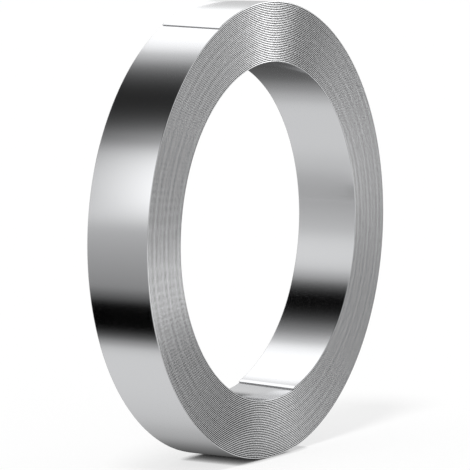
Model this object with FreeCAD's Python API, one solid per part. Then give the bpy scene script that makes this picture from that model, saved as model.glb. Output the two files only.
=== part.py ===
import FreeCAD, Part
import math
import os

# A roll of bright flat nickel strip, wound tight on itself with no core, standing on its rim.
# Each turn lies round on the one below it, up to the stretch where it climbs by the strip's
# thickness to pass over the strip's first cut end. The roll rests at the foot of that climb.
# The strip is wound from +X towards +Z, so both of its cut ends face -X.
# Sizes are millimetres and angles are degrees, counted about the bore from +X towards +Z.
# Origin at the centre of the bore, +Y along the bore, +Z up.

# The strip
strip_width = 8.0
strip_thickness = 0.2
strip_length = 5002.0

# The winding
bore_radius = 19.6
first_end_angle = 284.0     # where the strip's first cut end lies, in the bore
climb_angle = 17.5          # the stretch before it, over which every turn climbs

# The wound edges, on both ends of the roll
edge_lean = 0.04            # how far a turn's edge leans in or out across its thickness
square_turns_inside = 4     # turns at the bore with square edges, which the roll can lie on
square_turns_outside = 4    # the same at the rim, besides the last part turn

# What follows from them
mean_rim_radius = math.sqrt(bore_radius ** 2 + strip_length * strip_thickness / math.pi)
turn_count = (mean_rim_radius - bore_radius) / strip_thickness
wound_angle = 360.0 * turn_count    # from the strip's first cut end to its last
half_width = strip_width / 2
bore_axis = FreeCAD.Vector(0, 1, 0)


def underside_radius(wound):
    """How far from the bore's centre the strip's underside is, at an angle wound so far.

    A climb is a flatter arc, tangent to the round stretch before it, that reaches the next
    turn's radius right over the first cut end.
    """
    turn, part = divmod(wound, 360.0)
    radius = bore_radius + turn * strip_thickness
    climbed = math.radians(part - (360.0 - climb_angle))
    if climbed <= 0:
        return radius
    next_radius = radius + strip_thickness
    shortfall = radius - next_radius * math.cos(math.radians(climb_angle))
    offset = (next_radius ** 2 - radius ** 2) / (2 * shortfall)
    across = offset * math.sin(climbed)
    return math.sqrt((radius + offset) ** 2 - across ** 2) - offset * math.cos(climbed)


def underside_point(wound):
    """The strip's underside at an angle wound so far, as a point in the XZ plane."""
    radius = underside_radius(wound)
    angle = math.radians(first_end_angle + wound)
    return FreeCAD.Vector(radius * math.cos(angle), 0, radius * math.sin(angle))


def turn_wire(first):
    """The line below one whole turn that starts at a wound angle, closed by the cut end's step."""
    last = first + 360.0
    next_pass = 360.0 * (first // 360.0 + 1)    # where the turn passes over the first cut end
    breaks = (first, next_pass - climb_angle, next_pass, next_pass + 360.0 - climb_angle, last)
    stops = sorted({stop for stop in breaks if first <= stop <= last})
    edges = []
    for start, end in zip(stops, stops[1:]):
        ends = [underside_point(wound) for wound in (start, (start + end) / 2, end)]
        edges.append(Part.Arc(*ends).toShape())
    step = Part.LineSegment(underside_point(last), underside_point(first))
    return Part.Wire(edges + [step.toShape()])


def wound_outline():
    """The roll seen along its bore, as wide as the strip and with square ends.

    The bore is the line below the first turn. The rim is the line on which one more turn would
    lie, past the strip's last cut end.
    """
    bore = Part.Face(turn_wire(0.0))
    outline = Part.Face(turn_wire(wound_angle)).cut(bore)
    outline.translate(-half_width * bore_axis)
    return outline.extrude(strip_width * bore_axis)


def turned_edges():
    """A turned blank whose two ends carry a ring for each turn of the strip.

    Neighbouring edges lean opposite ways, so each turn reads as a ring of its own.
    """
    first_lean = square_turns_inside
    last_lean = int(turn_count) - square_turns_outside
    clear_of_walls = 1.0
    profile = [(bore_radius - clear_of_walls, half_width)]
    for turn in range(first_lean, last_lean + 1):
        sunk = (turn - first_lean) % 2 and turn < last_lean
        depth = edge_lean if sunk else 0.0
        profile.append((bore_radius + turn * strip_thickness, half_width - depth))
    profile.append((mean_rim_radius + clear_of_walls, half_width))
    far_end = [FreeCAD.Vector(radius, y, 0) for radius, y in profile]
    near_end = [FreeCAD.Vector(radius, -y, 0) for radius, y in reversed(profile)]
    corners = far_end + near_end
    section = Part.Face(Part.makePolygon(corners + corners[:1]))
    return section.revolve(FreeCAD.Vector(), bore_axis, 360)


def strip_coil():
    """The whole roll, one strip of metal from its first cut end to its last."""
    return wound_outline().common(turned_edges())


os.makedirs("parts", exist_ok=True)
coil = strip_coil()
coil.Solids[0].exportStep("parts/strip_coil.step")

print("rim radius", round(underside_radius(wound_angle + 360), 3), "bore radius", bore_radius)
print("turns", round(turn_count, 3), "last end at", round((first_end_angle + wound_angle) % 360, 1))
print("solids", len(coil.Solids), "faces", len(coil.Faces), "valid", coil.isValid())
print("volume", round(coil.Volume, 1), "of", round(strip_length * strip_width * strip_thickness, 1))
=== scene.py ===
import bpy
import bmesh
import math
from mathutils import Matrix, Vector


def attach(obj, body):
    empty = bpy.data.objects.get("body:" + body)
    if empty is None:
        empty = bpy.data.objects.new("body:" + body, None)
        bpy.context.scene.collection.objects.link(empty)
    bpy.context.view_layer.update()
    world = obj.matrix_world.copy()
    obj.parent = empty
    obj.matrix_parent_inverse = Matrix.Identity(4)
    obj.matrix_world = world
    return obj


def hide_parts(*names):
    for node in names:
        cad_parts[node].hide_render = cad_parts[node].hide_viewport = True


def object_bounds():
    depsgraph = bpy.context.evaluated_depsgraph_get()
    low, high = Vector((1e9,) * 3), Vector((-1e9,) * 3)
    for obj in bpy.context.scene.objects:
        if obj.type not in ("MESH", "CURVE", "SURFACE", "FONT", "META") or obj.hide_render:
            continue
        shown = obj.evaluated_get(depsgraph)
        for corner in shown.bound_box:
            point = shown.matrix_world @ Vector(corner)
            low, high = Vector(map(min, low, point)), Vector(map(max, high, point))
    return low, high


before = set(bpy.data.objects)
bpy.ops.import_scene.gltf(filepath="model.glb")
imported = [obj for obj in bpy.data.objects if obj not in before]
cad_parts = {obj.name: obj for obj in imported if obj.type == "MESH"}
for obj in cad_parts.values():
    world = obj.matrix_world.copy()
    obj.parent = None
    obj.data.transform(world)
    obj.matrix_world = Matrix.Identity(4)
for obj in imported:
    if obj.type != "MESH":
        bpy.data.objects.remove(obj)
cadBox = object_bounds()
scene = bpy.context.scene
scene.view_settings.view_transform = "Standard"

# Lengths are metres. Angles are degrees about the bore, from +X towards +Z.
tolerance = 1e-6        # two places closer than this are one

strip = {
    "width": 0.008,
    "thickness": 0.0002,
    "length": 5.002,
    "boreRadius": 0.0196,
    "firstEnd": 284.0,                      # where the first cut end lies, in the bore
    "climb": 17.5,                          # the stretch in which each turn climbs over that end
    "edgeRounding": 0.00009,
    "edgeSegments": 2,
    "airGap": 0.000006,                     # between one turn and the next
    "wander": 0.000012,                     # how far the turns' edges stray along the bore
    "wanderWaves": ((0.0131, 0.7), (0.0203, 2.1)),      # radians for each degree, and to start
    "stepsPerTurn": 180,
    "laidTurn": 0.1,                        # length of a turn while the strip is laid out straight
    "seamShadeStrength": 1.0,                    # painted shade on the rounded corners that lie between two turns
    "bareShadeStrength": 0.8,                    # lighter painted shade on those on the rim and in the bore
    "firstEndChamfer": (0.00025, 0.00007),  # along the laid-out strip, and into it
    "lastEndChamfer": (0.00042, 0.00010),
    "firstEndSlant": (0.65, 2.4),           # degrees cut away at the near edge and at the far one
    "lastEndSlant": (0.0, 1.25),
    "slantReach": 0.004,                    # how far along the laid-out strip it is evened out
    "bareBeyond": 5.0,                      # degrees of the next turn that a slanted cut lays bare
    "smoothBelow": 15.0,                    # faces that meet at less than this look like one
}


def undersideRadius(wound):
    # how far out the strip's underside is, at an angle wound so far
    turn, part = divmod(wound, 360.0)
    radius = strip["boreRadius"] + turn * strip["thickness"]
    climbed = math.radians(part - (360.0 - strip["climb"]))
    if climbed <= 0:
        return radius
    nextRadius = radius + strip["thickness"]
    shortfall = radius - nextRadius * math.cos(math.radians(strip["climb"]))
    offset = (nextRadius ** 2 - radius ** 2) / (2 * shortfall)
    across = offset * math.sin(climbed)
    return math.sqrt((radius + offset) ** 2 - across ** 2) - offset * math.cos(climbed)


def edgeWander(wound):
    # turns never stack perfectly true, so their edges stray a little along the bore
    waves = [math.sin(rate * wound + start) for rate, start in strip["wanderWaves"]]
    return strip["wander"] * sum(waves) / len(waves)


def woundTurns():
    meanRim = math.sqrt(strip["boreRadius"] ** 2 + strip["length"] * strip["thickness"] / math.pi)
    return (meanRim - strip["boreRadius"]) / strip["thickness"]


def layStripOut(bm, end, steps):
    # the whole strip lying straight along X, with its slit corners rounded off
    inside = strip["airGap"] / 2
    outside = strip["thickness"] - strip["airGap"] / 2
    half = strip["width"] / 2 - strip["wander"]
    corners = [(0, -half, inside), (0, -half, outside), (0, half, outside), (0, half, inside)]
    bm.faces.new([bm.verts.new(corner) for corner in corners])
    bmesh.ops.bevel(bm, geom=bm.verts[:], offset=strip["edgeRounding"], offset_type="OFFSET",
                    segments=strip["edgeSegments"], profile=0.5, affect="VERTICES", material=-1)
    drawn = bmesh.ops.extrude_face_region(bm, geom=bm.faces[:], use_keep_orig=True)
    moved = [item for item in drawn["geom"] if isinstance(item, bmesh.types.BMVert)]
    bmesh.ops.translate(bm, verts=moved, vec=(end, 0, 0))
    lengthwise = [edge for edge in bm.edges if edge.calc_length() > strip["laidTurn"]]
    bmesh.ops.subdivide_edges(bm, edges=lengthwise, cuts=steps - 1, use_grid_fill=True)
    chamferEnd(bm, 0.0, strip["firstEndChamfer"], inside)
    chamferEnd(bm, end, strip["lastEndChamfer"], outside)


def chamferEnd(bm, end, chamfer, bareSide):
    # shears leave the bare corner of a cut end rolled over
    length, depth = chamfer
    start = end + (length if end == 0.0 else -length)
    bmesh.ops.bisect_plane(bm, geom=bm.verts[:] + bm.edges[:] + bm.faces[:], dist=tolerance,
                           plane_co=(start, 0, 0), plane_no=(1, 0, 0))
    inwards = depth if bareSide < strip["thickness"] / 2 else -depth
    for vert in bm.verts:
        nearBareSide = abs(vert.co.z - bareSide) < strip["edgeRounding"] - tolerance
        if abs(vert.co.x - end) < tolerance and nearBareSide:
            vert.co.z += inwards


def markSeamShade(bm, end):
    # marks the painted shade on the rounded corners between two turns, lighter on the bare ones,
    # and where the strip was cut
    seamShade = bm.verts.layers.float.new("seamShade")
    along = bm.verts.layers.float.new("along")
    bareLength = strip["laidTurn"] * (1.0 + strip["bareBeyond"] / 360.0)
    middle = strip["thickness"] / 2
    half = strip["width"] / 2 - strip["wander"]
    for vert in bm.verts:
        vert[along] = vert.co.x
        inTheBore = vert.co.z < middle and vert.co.x < bareLength
        onTheRim = vert.co.z >= middle and vert.co.x > end - bareLength
        atLastEnd = vert.co.x > end - tolerance
        inset = half - abs(vert.co.y)
        if inTheBore or onTheRim or atLastEnd:
            if tolerance < inset < strip["edgeRounding"] / 2:
                vert[seamShade] = strip["bareShadeStrength"]
        elif inset > tolerance:
            vert[seamShade] = strip["seamShadeStrength"]
    cut = bm.faces.layers.float.new("cut")
    for face in bm.faces:
        if abs(face.normal.x) > 0.9:        # it looks along the strip
            face[cut] = 1.0


def slantEnds(bm, end):
    # the shears didn't run quite square across the strip
    reach = strip["slantReach"]
    for vert in bm.verts:
        nearLast = vert.co.x > end - reach
        if not nearLast and vert.co.x > reach:
            continue
        near, far = strip["lastEndSlant"] if nearLast else strip["firstEndSlant"]
        cutAway = near + (far - near) * (vert.co.y / strip["width"] + 0.5)
        cutAway *= strip["laidTurn"] / 360.0
        if nearLast:
            vert.co.x -= cutAway * (1 - (end - vert.co.x) / reach)
        else:
            vert.co.x += cutAway * (1 - vert.co.x / reach)


def windStrip():
    turns = woundTurns()
    steps = round(turns * strip["stepsPerTurn"])
    end = turns * strip["laidTurn"]
    bm = bmesh.new()
    layStripOut(bm, end, steps)
    print("strip laid out:", round(turns, 3), "turns,", steps, "steps,", len(bm.faces), "faces")
    markSeamShade(bm, end)
    slantEnds(bm, end)
    for vert in bm.verts:
        wound = 360.0 * vert.co.x / strip["laidTurn"]
        radius = undersideRadius(wound) + vert.co.z
        angle = math.radians(strip["firstEnd"] + wound)
        across = vert.co.y + edgeWander(wound)
        vert.co = (radius * math.cos(angle), across, radius * math.sin(angle))
    bmesh.ops.recalc_face_normals(bm, faces=bm.faces[:])
    bm.normal_update()
    for edge in bm.edges:
        edge.smooth = edge.calc_face_angle(0.0) < math.radians(strip["smoothBelow"])
    for face in bm.faces:
        face.smooth = True
    return bm


def newPiece(name, bm):
    mesh = bpy.data.meshes.new(name)
    bm.to_mesh(mesh)
    bm.free()
    piece = bpy.data.objects.new(name, mesh)
    scene.collection.objects.link(piece)
    return piece


def shaderNodes(name):
    material = bpy.data.materials.new(name)
    material.use_nodes = True
    nodes = material.node_tree.nodes
    nodes.clear()
    return material, nodes, material.node_tree.links


def feed(links, socket, value):
    # a number or a colour is set on the socket, and anything else is linked to it
    if isinstance(value, (int, float, tuple)):
        socket.default_value = value
    else:
        links.new(value, socket)


def calculate(nodes, links, operation, *terms):
    node = nodes.new("ShaderNodeMath")
    node.operation = operation
    for socket, term in zip(node.inputs, terms):
        feed(links, socket, term)
    return node.outputs[0]


def product(nodes, links, terms):
    total = terms[0]
    for term in terms[1:]:
        total = calculate(nodes, links, "MULTIPLY", total, term)
    return total


def mapped(nodes, links, value, given=(0.0, 1.0), wanted=(0.0, 1.0), kind="LINEAR"):
    node = nodes.new("ShaderNodeMapRange")
    node.interpolation_type = kind
    for name, term in zip(("Value", "From Min", "From Max", "To Min", "To Max"),
                          (value, *given, *wanted)):
        feed(links, node.inputs[name], term)
    return node.outputs["Result"]


def rise(nodes, links, value, start, end):
    # 0 up to the start, 1 past the end, and smooth between them
    return mapped(nodes, links, value, (start, end), kind="SMOOTHSTEP")


def objectPlace(nodes, links):
    place = nodes.new("ShaderNodeTexCoord")
    apart = nodes.new("ShaderNodeSeparateXYZ")
    links.new(place.outputs["Object"], apart.inputs["Vector"])
    return apart.outputs


def marking(nodes, name):
    # what the strip's marks (painted seam shade, cut ends, place along it) and the floor cards
    # wrote on the mesh
    node = nodes.new("ShaderNodeAttribute")
    node.attribute_name = name
    return node.outputs["Fac"]


nickel = {
    "faceColor": (0.655, 0.660, 0.672, 1),
    "edgeColor": (0.90, 0.905, 0.915, 1),
    # the seam colour is painted shade: near black where two turns meet
    "seamShadeColor": (0.012, 0.012, 0.0125, 1),
    "cutColor": (0.50, 0.50, 0.505, 1),
    "faceRoughness": 0.10,
    "edgeRoughness": 0.22,
    "cutRoughness": 0.45,
    "edgeInset": (0.00009, 0.00005),    # where the slit edge's look starts, and where it is full
    "streaks": (22.0, 9000.0),          # how tightly rolling streaks repeat, along and across
    "streakDetail": 4.0,
    "streakRaggedness": 0.6,
    "streakRoughness": 0.035,
    "streakHeight": 0.00000035,
}


def brightNickel():
    material, nodes, links = shaderNodes("bright_nickel")
    output = nodes.new("ShaderNodeOutputMaterial")
    metal = nodes.new("ShaderNodeBsdfPrincipled")
    metal.inputs["Metallic"].default_value = 1.0
    links.new(metal.outputs["BSDF"], output.inputs["Surface"])

    place = objectPlace(nodes, links)
    outwards = calculate(nodes, links, "ABSOLUTE", place["Y"])
    slitEdge = [strip["width"] / 2 - inset for inset in nickel["edgeInset"]]
    masks = {"edge": mapped(nodes, links, outwards, slitEdge),
             "seamShade": marking(nodes, "seamShade"),
             "cut": marking(nodes, "cut")}
    color = nickel["faceColor"]
    rough = nickel["faceRoughness"]
    for name, mask in masks.items():
        blend = nodes.new("ShaderNodeMix")
        blend.data_type = "RGBA"
        feed(links, blend.inputs["A"], color)
        feed(links, blend.inputs["B"], nickel[name + "Color"])
        feed(links, blend.inputs["Factor"], mask)
        color = blend.outputs["Result"]
        if name != "seamShade":      # the seams' painted shade is darker, but no rougher
            rough = mapped(nodes, links, mask, wanted=(rough, nickel[name + "Roughness"]))
    links.new(color, metal.inputs["Base Color"])

    streaks = rollingStreaks(nodes, links, place)
    duller = calculate(nodes, links, "MULTIPLY_ADD", streaks, nickel["streakRoughness"], rough)
    links.new(duller, metal.inputs["Roughness"])
    bump = nodes.new("ShaderNodeBump")
    bump.inputs["Strength"].default_value = 1.0
    bump.inputs["Distance"].default_value = nickel["streakHeight"]
    links.new(streaks, bump.inputs["Height"])
    links.new(bump.outputs["Normal"], metal.inputs["Normal"])
    return material


def rollingStreaks(nodes, links, place):
    # fine lines that the mill's rolls leave along the strip
    tightAlong, tightAcross = nickel["streaks"]
    laid = nodes.new("ShaderNodeCombineXYZ")
    along = calculate(nodes, links, "MULTIPLY", marking(nodes, "along"), tightAlong)
    across = calculate(nodes, links, "MULTIPLY", place["Y"], tightAcross)
    links.new(along, laid.inputs["X"])
    links.new(across, laid.inputs["Y"])
    noise = nodes.new("ShaderNodeTexNoise")
    noise.noise_dimensions = "2D"
    noise.inputs["Scale"].default_value = 1.0
    noise.inputs["Detail"].default_value = nickel["streakDetail"]
    noise.inputs["Roughness"].default_value = nickel["streakRaggedness"]
    links.new(laid.outputs[0], noise.inputs["Vector"])
    return noise.outputs["Fac"]


def stripCoil():
    piece = newPiece("strip_coil_wound", windStrip())
    piece.data.materials.append(brightNickel())
    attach(piece, "root")
    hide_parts("strip_coil")
    print("strip wound:", len(piece.data.polygons), "faces,", len(piece.data.vertices), "points")


floor = {
    "size": 6.0,
    "color": (0.32, 0.32, 0.32, 1),
    "lift": 0.685,                      # how much whiter the camera and the metal see it
    "shadeReach": 0.0011,               # of the close shade where the roll touches it
    "shadeDepth": 1.3,
    "shadeSamples": 12,
    "shadeEases": (0.0015, 0.005),      # where it weakens, under the climb away from the camera
    "easedTo": 0.7,
}


def stageFloor():
    bm = bmesh.new()
    bmesh.ops.create_grid(bm, x_segments=1, y_segments=1, size=floor["size"])
    bmesh.ops.translate(bm, verts=bm.verts[:], vec=(0, 0, cadBox[0].z))
    piece = newPiece("floor", bm)
    material, nodes, links = shaderNodes("white_sweep")
    piece.data.materials.append(material)

    output = nodes.new("ShaderNodeOutputMaterial")
    matt = nodes.new("ShaderNodeBsdfDiffuse")
    matt.inputs["Color"].default_value = floor["color"]
    close = nodes.new("ShaderNodeAmbientOcclusion")
    close.samples = floor["shadeSamples"]
    close.inputs["Distance"].default_value = floor["shadeReach"]
    shade = calculate(nodes, links, "POWER", close.outputs["AO"], floor["shadeDepth"])
    place = objectPlace(nodes, links)
    spared = rise(nodes, links, place["X"], *floor["shadeEases"])
    spared = calculate(nodes, links, "MULTIPLY", spared, floor["easedTo"])
    eased = calculate(nodes, links, "MAXIMUM", shade, spared)
    lift = calculate(nodes, links, "MULTIPLY", seenBackground(nodes, links), floor["lift"])
    lifted = nodes.new("ShaderNodeEmission")
    links.new(calculate(nodes, links, "MULTIPLY", lift, eased), lifted.inputs["Strength"])
    both = nodes.new("ShaderNodeAddShader")
    links.new(matt.outputs[0], both.inputs[0])
    links.new(lifted.outputs[0], both.inputs[1])
    links.new(both.outputs[0], output.inputs["Surface"])
    print("floor laid at", round(cadBox[0].z, 5))


def seenBackground(nodes, links):
    # 1 for rays from the camera and off the metal, 0 for the light that falls on things
    rays = nodes.new("ShaderNodeLightPath").outputs
    seen = calculate(nodes, links, "MAXIMUM", rays["Is Camera Ray"], rays["Is Glossy Ray"])
    return calculate(nodes, links, "MAXIMUM", seen, rays["Is Transmission Ray"])


def mirroredCard(name, bm):
    # a piece of the stage that only the metal sees
    card = newPiece(name, bm)
    card.visible_camera = False
    card.visible_diffuse = False
    card.visible_shadow = False
    card.visible_transmission = False
    card.visible_volume_scatter = False
    material, nodes, links = shaderNodes(name + "_tones")
    card.data.materials.append(material)
    return nodes, links, objectPlace(nodes, links)


def glow(nodes, links, tone, mask):
    # the tone where the mask is 1, and nothing where it is 0
    light = nodes.new("ShaderNodeEmission")
    gone = nodes.new("ShaderNodeBsdfTransparent")
    soft = nodes.new("ShaderNodeMixShader")
    output = nodes.new("ShaderNodeOutputMaterial")
    feed(links, light.inputs["Strength"], tone)
    links.new(mask, soft.inputs[0])
    links.new(gone.outputs[0], soft.inputs[1])
    links.new(light.outputs[0], soft.inputs[2])
    links.new(soft.outputs[0], output.inputs["Surface"])


def toneCurve(nodes, links, value, tones):
    low, high = tones[0][0], tones[-1][0]
    brightest = max(tone for place, tone in tones)
    curve = nodes.new("ShaderNodeFloatCurve")
    points = curve.mapping.curves[0].points
    while len(points) < len(tones):
        points.new(0.5, 0.5)
    for point, (place, tone) in zip(points, tones):
        point.location = ((place - low) / (high - low), tone / brightest)
        point.handle_type = "AUTO_CLAMPED"
    curve.mapping.update()
    links.new(mapped(nodes, links, value, (low, high)), curve.inputs["Value"])
    return calculate(nodes, links, "MULTIPLY", curve.outputs[0], brightest)


# The cards that the metal mirrors stand and lie round the roll and light nothing. Their tones
# are (place across the card, brightness), run smoothly together, and give the metal the bands
# that the photo shows on the rim and in the bore.
screenSteps = 110

roundScreens = {
    "wide_screen": {
        "radius": 0.62,
        "reach": (-1.8, 2.4),           # along the bore
        "fade": (0.5, 0.8),             # how softly it ends, at both of those ends
        "tones": [(-20, 0.40), (0, 0.35), (14, 0.70), (42, 1.15), (76, 1.20), (95, 0.72),
                  (118, 0.08), (138, 0.50), (157, 1.10), (178, 0.70), (200, 0.40)],
    },
    "rim_screen": {
        "radius": 0.075,
        "reach": (0.014, 0.043),
        "fade": (0.008, 0.0),
        "fall": {"slope": 55.0, "level": 0.0325, "zone": (118, 134, 162, 178)},
        "tones": [(-20, 0.10), (-5, 0.12), (8, 0.62), (34, 0.70), (46, 0.95), (60, 1.60),
                  (75, 1.60), (95, 0.70), (119, 0.03), (138, 0.35), (159, 1.12), (178, 0.60),
                  (200, 0.35)],
    },
    "bore_screen": {
        "radius": 0.075,
        "reach": (0.043, 0.080),
        "fade": (0.0, 0.015),
        "tones": [(-20, 0.10), (-5, 0.12), (8, 0.82), (24, 0.82), (42, 1.60), (59, 1.60),
                  (84, 0.70), (98, 0.20), (112, 0.01), (122, 0.0), (141, 0.57), (158, 0.95),
                  (180, 0.69), (200, 0.54)],
    },
}


def roundScreen(name, card):
    # part of a round wall about the bore
    low, high = card["tones"][0][0], card["tones"][-1][0]
    start = math.radians(low)
    foot = (card["radius"] * math.cos(start), card["radius"] * math.sin(start))
    bm = bmesh.new()
    ends = [bm.verts.new((foot[0], y, foot[1])) for y in card["reach"]]
    line = bm.edges.new(ends)
    bmesh.ops.spin(bm, geom=ends + [line], cent=(0, 0, 0), axis=(0, -1, 0), steps=screenSteps,
                   angle=math.radians(high - low))
    nodes, links, place = mirroredCard(name, bm)
    # the angle about the bore, counted so that its jump lies below the floor
    flipped = calculate(nodes, links, "MULTIPLY", place["X"], -1.0)
    turned = calculate(nodes, links, "ARCTAN2", flipped, place["Z"])
    angle = calculate(nodes, links, "MULTIPLY_ADD", turned, math.degrees(1.0), 90.0)
    tone = toneCurve(nodes, links, angle, card["tones"])
    if "fall" in card:
        dimming = lowerFall(nodes, links, angle, place["Y"], card["fall"])
        tone = calculate(nodes, links, "MULTIPLY", tone, dimming)
    nearFade, farFade = card["fade"]
    near, far = card["reach"]
    masks = [rise(nodes, links, place["Y"], limit, inner)
             for limit, inner in ((near, near + nearFade), (far, far - farFade)) if limit != inner]
    glow(nodes, links, tone, product(nodes, links, masks))


def lowerFall(nodes, links, angle, along, fall):
    # the lower light zone is brighter towards the near end of the roll, by so much for each metre
    opens, full, closes, shut = fall["zone"]
    zone = product(nodes, links, [rise(nodes, links, angle, opens, full),
                                  rise(nodes, links, angle, shut, closes)])
    slope = calculate(nodes, links, "MULTIPLY_ADD", along, -fall["slope"],
                      fall["slope"] * fall["level"])
    return calculate(nodes, links, "MULTIPLY_ADD", slope, zone, 1.0)


cardGap = 0.00004       # between the floor and the cards that lie on it

floorCards = {
    "rim_floor_card": {
        "corners": [(-0.072, 0.020), (-0.028, -0.002), (-0.0016, -0.004), (-0.0016, 0.0045),
                    (-0.012, 0.0085), (-0.028, 0.026), (-0.072, 0.048)],
        "fade": 0.0006,
        # from -0.020 towards the roll these tones fall as a painted shadow: the floor's shade
        # where the roll touches it, which the rim mirrors
        "tones": [(-0.072, 0.36), (-0.060, 0.13), (-0.052, 0.0), (-0.042, 0.0), (-0.0345, 0.45),
                  (-0.029, 0.88), (-0.020, 0.84), (-0.012, 0.57), (-0.006, 0.14),
                  (-0.0016, 0.03)],
    },
    "bore_floor_card": {
        "corners": [(-0.072, 0.0485), (-0.028, 0.0265), (0.0, 0.012), (0.085, 0.012),
                    (0.085, 0.065), (-0.072, 0.065)],
        "fade": 0.004,
        "tones": [(-0.072, 0.54), (-0.035, 0.58), (-0.015, 0.75), (0.0, 0.85), (0.010, 0.85),
                  (0.020, 0.65), (0.032, 0.32), (0.047, 0.15), (0.075, 0.12), (0.085, 0.15)],
    },
    "front_floor_card": {
        "corners": [(-0.02, -0.27), (0.09, -0.27), (0.09, -0.055), (-0.02, -0.055)],
        "fade": 0.012,
        "tones": [(-0.02, 1.9), (0.04, 1.8), (0.065, 1.3), (0.09, 0.9)],
    },
    "foot_card": {
        "corners": [(-0.018, -0.036), (0.006, -0.036), (0.006, -0.007), (-0.018, -0.007)],
        "fade": 0.003,
        "tones": [(-0.018, 0.85), (-0.010, 0.65), (-0.002, 0.65), (0.006, 1.0)],
    },
    "low_floor_card": {
        "corners": [(0.045, -0.022), (0.21, -0.06), (0.21, -0.12), (0.045, -0.05)],
        "fade": 0.008,
        "tones": [(0.045, 0.8), (0.07, 0.55), (0.21, 0.6)],
    },
}


def floorCard(name, card):
    low = cadBox[0].z + cardGap
    bm = bmesh.new()
    bm.faces.new([bm.verts.new((x, y, low)) for x, y in card["corners"]])
    outline = bm.verts[:]
    bmesh.ops.inset_region(bm, faces=bm.faces[:], thickness=card["fade"], use_even_offset=True)
    solid = bm.verts.layers.float.new("solid")
    for vert in bm.verts:
        vert[solid] = 0.0 if vert in outline else 1.0
    nodes, links, place = mirroredCard(name, bm)
    tone = toneCurve(nodes, links, place["X"], card["tones"])
    glow(nodes, links, tone, marking(nodes, "solid"))


# These two stand in front, where the slit edges of the strip mirror them.
frontCards = {
    "grey_card": {
        "direction": -12.5,
        "distance": 0.46,
        "width": 0.43,
        "height": (-0.0255, 0.50),      # from the middle of the bore
        "fade": (0.08, 0.24),           # how softly it ends at its sides, and at its top and foot
        "tone": 0.20,
    },
    "soft_box": {
        "direction": -27.5,
        "distance": 0.44,
        "width": 0.18,
        "height": (0.06, 0.28),
        "fade": (0.095, 0.11),
        "tone": 6.3,
    },
}


def frontCard(name, card):
    turn = math.radians(card["direction"])
    side = Vector((-math.sin(turn), math.cos(turn), 0))
    middle = Vector((math.cos(turn), math.sin(turn), 0)) * card["distance"]
    half = card["width"] / 2
    low, high = card["height"]
    bm = bmesh.new()
    bm.faces.new([bm.verts.new(middle + side * across + Vector((0, 0, up)))
                  for across, up in ((-half, low), (half, low), (half, high), (-half, high))])
    nodes, links, place = mirroredCard(name, bm)
    along = [calculate(nodes, links, "MULTIPLY", place[axis], side[index])
             for index, axis in enumerate("XY")]
    offCentre = calculate(nodes, links, "ABSOLUTE", calculate(nodes, links, "ADD", *along))
    sideFade, endFade = card["fade"]
    masks = [rise(nodes, links, offCentre, half, half - sideFade),
             rise(nodes, links, place["Z"], high, high - endFade)]
    if low > 0:         # a card that stands on the floor has no soft foot
        masks.append(rise(nodes, links, place["Z"], low, low + endFade))
    glow(nodes, links, card["tone"], product(nodes, links, masks))


studio = {
    "ambient": 0.62,                    # strength of the world's light on things
    "sunFrom": (-0.55, -0.14, 1.0),
    "sunStrength": 1.36,
    "sunSpread": 14.0,
}


def studioWorld():
    world = bpy.data.worlds.new("studio")
    scene.world = world
    world.use_nodes = True
    nodes = world.node_tree.nodes
    links = world.node_tree.links
    nodes.clear()
    output = nodes.new("ShaderNodeOutputWorld")
    white = nodes.new("ShaderNodeBackground")
    white.inputs["Color"].default_value = (1, 1, 1, 1)
    strength = mapped(nodes, links, seenBackground(nodes, links), wanted=(studio["ambient"], 1.0))
    links.new(strength, white.inputs["Strength"])
    links.new(white.outputs[0], output.inputs["Surface"])


def studioSun():
    light = bpy.data.lights.new("sun", "SUN")
    light.energy = studio["sunStrength"]
    light.angle = math.radians(studio["sunSpread"])
    lamp = bpy.data.objects.new("sun", light)
    lamp.rotation_euler = Vector(studio["sunFrom"]).to_track_quat("Z", "Y").to_euler()
    lamp.visible_glossy = False
    scene.collection.objects.link(lamp)


view = {
    "azimuth": -58.56,
    "elevation": 5.8,
    "distance": 0.3683,
    "focal": 3164.1,                # in pixels of the picture
    "centre": (243.05, 229.58),     # where the bore's centre shows, in the same pixels
    "picture": 470,
    "sensor": 36,
    "clip": (0.01, 50),
}


def photoCamera():
    data = bpy.data.cameras.new("camera")
    data.lens = view["focal"] / view["picture"] * view["sensor"]
    data.sensor_width = view["sensor"]
    data.clip_start, data.clip_end = view["clip"]
    middle = view["picture"] / 2
    data.shift_x = (middle - view["centre"][0]) / view["picture"]
    data.shift_y = (view["centre"][1] - middle) / view["picture"]
    camera = bpy.data.objects.new("camera", data)
    scene.collection.objects.link(camera)
    turn = math.radians(view["azimuth"])
    lift = math.radians(view["elevation"])
    back = Vector((math.sin(turn) * math.cos(lift), -math.cos(turn) * math.cos(lift),
                   math.sin(lift)))
    camera.location = back * view["distance"]
    camera.rotation_euler = (-back).to_track_quat("-Z", "Y").to_euler()
    scene.camera = camera


stripCoil()
stageFloor()
for name, card in roundScreens.items():
    roundScreen(name, card)
print("round screens:", ", ".join(roundScreens))
for name, card in floorCards.items():
    floorCard(name, card)
print("floor cards:", ", ".join(floorCards))
for name, card in frontCards.items():
    frontCard(name, card)
print("front cards:", ", ".join(frontCards))
studioWorld()
studioSun()
print("studio lit")
photoCamera()
print("camera at the photo's angle")
